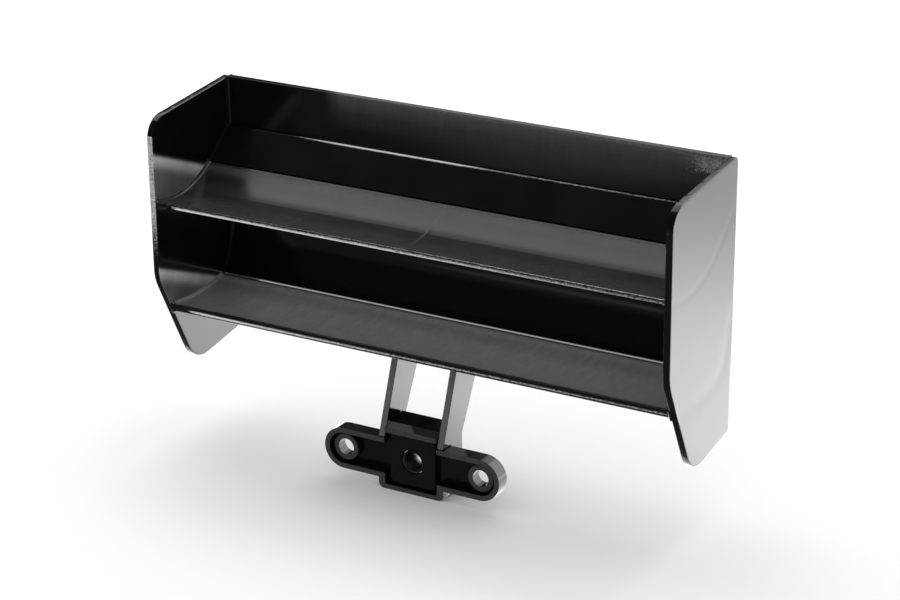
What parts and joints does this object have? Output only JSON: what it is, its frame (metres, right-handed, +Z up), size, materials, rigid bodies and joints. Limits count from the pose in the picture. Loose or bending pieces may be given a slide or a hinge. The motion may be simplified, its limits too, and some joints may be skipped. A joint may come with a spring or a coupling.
{
  "type": "racing rear wing",
  "caption": "Black moulded rear wing for a small model racing car: concave decks and a top flap between flat endplates, on leaning struts with a drilled bar bracket.",
  "frame": {"origin": "centre of the bracket's hole pattern, in the plane of its front rim", "axes": "+X along the span, to the right when the open front is seen; +Y downstream, from the open front to the flap; +Z up"},
  "size_m": [0.112, 0.0271, 0.0706],
  "materials": {
    "gloss_black": "polished black moulded nylon",
    "grained_black": "fine-grained black moulded nylon",
    "bush_metal": "turned steel",
    "screw_metal": "black oxide"
  },
  "bodies": {
    "root": {"endplate_left": "gloss_black", "endplate_right": "gloss_black", "upper_shelf": "gloss_black", "upper_riser": "gloss_black", "top_flap": "gloss_black", "lower_shelf": "gloss_black", "lower_riser": "gloss_black", "centre_rib": "gloss_black", "strut_left": "grained_black", "strut_right": "grained_black", "cross_web": "grained_black", "mount_bracket": "grained_black", "centre_plate": "grained_black", "centre_bush": "bush_metal", "strut_screw_left_front": "screw_metal", "strut_nut_left_front": "screw_metal", "strut_screw_left_rear": "screw_metal", "strut_nut_left_rear": "screw_metal", "strut_screw_right_front": "screw_metal", "strut_nut_right_front": "screw_metal", "strut_screw_right_rear": "screw_metal", "strut_nut_right_rear": "screw_metal"}
  },
  "joints": []
}
